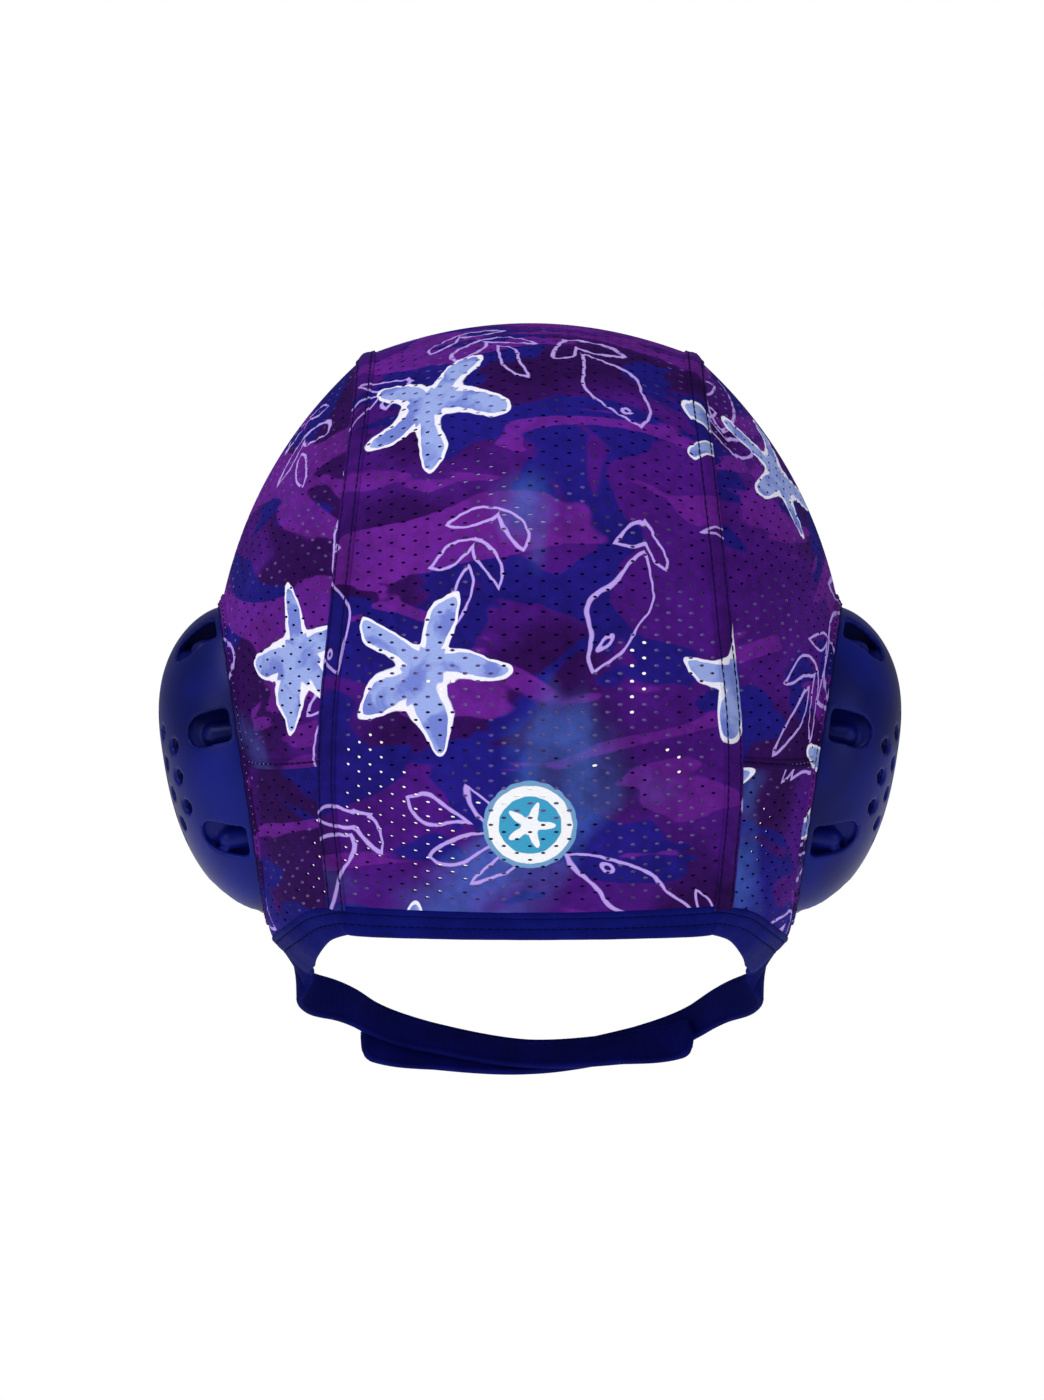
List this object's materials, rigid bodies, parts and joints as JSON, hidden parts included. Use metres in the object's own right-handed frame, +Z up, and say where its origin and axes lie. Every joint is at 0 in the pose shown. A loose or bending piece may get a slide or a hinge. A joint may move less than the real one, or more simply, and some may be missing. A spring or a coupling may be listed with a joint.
{
  "type": "water polo cap",
  "caption": "Perforated cloth cap with a moulded guard over each ear, a stitched elastic edge and a fastened chin strap.",
  "frame": {"origin": "where the crown of the head touches the inside of the cap", "axes": "+Z up, +Y the way the wearer faces, +X the wearer's right"},
  "size_m": [0.2228, 0.1987, 0.2264],
  "materials": {
    "mesh_cloth": "perforated knit with a printed pattern in violet, deep blue and pale blue",
    "guard_plastic": "moulded dark blue plastic with a satin gloss",
    "elastic_tape": "ribbed dark blue elastic tape with two rows of stitches",
    "strap_webbing": "dark blue woven strap"
  },
  "bodies": {
    "root": {"centre_panel": "mesh_cloth", "side_upper_right": "mesh_cloth", "side_upper_left": "mesh_cloth", "side_lower_right": "mesh_cloth", "side_lower_left": "mesh_cloth", "ear_guard_right": "guard_plastic", "ear_guard_left": "guard_plastic", "nape_binding": "elastic_tape", "face_binding": "elastic_tape", "chin_strap_right": "strap_webbing", "chin_strap_left": "strap_webbing"}
  },
  "joints": []
}
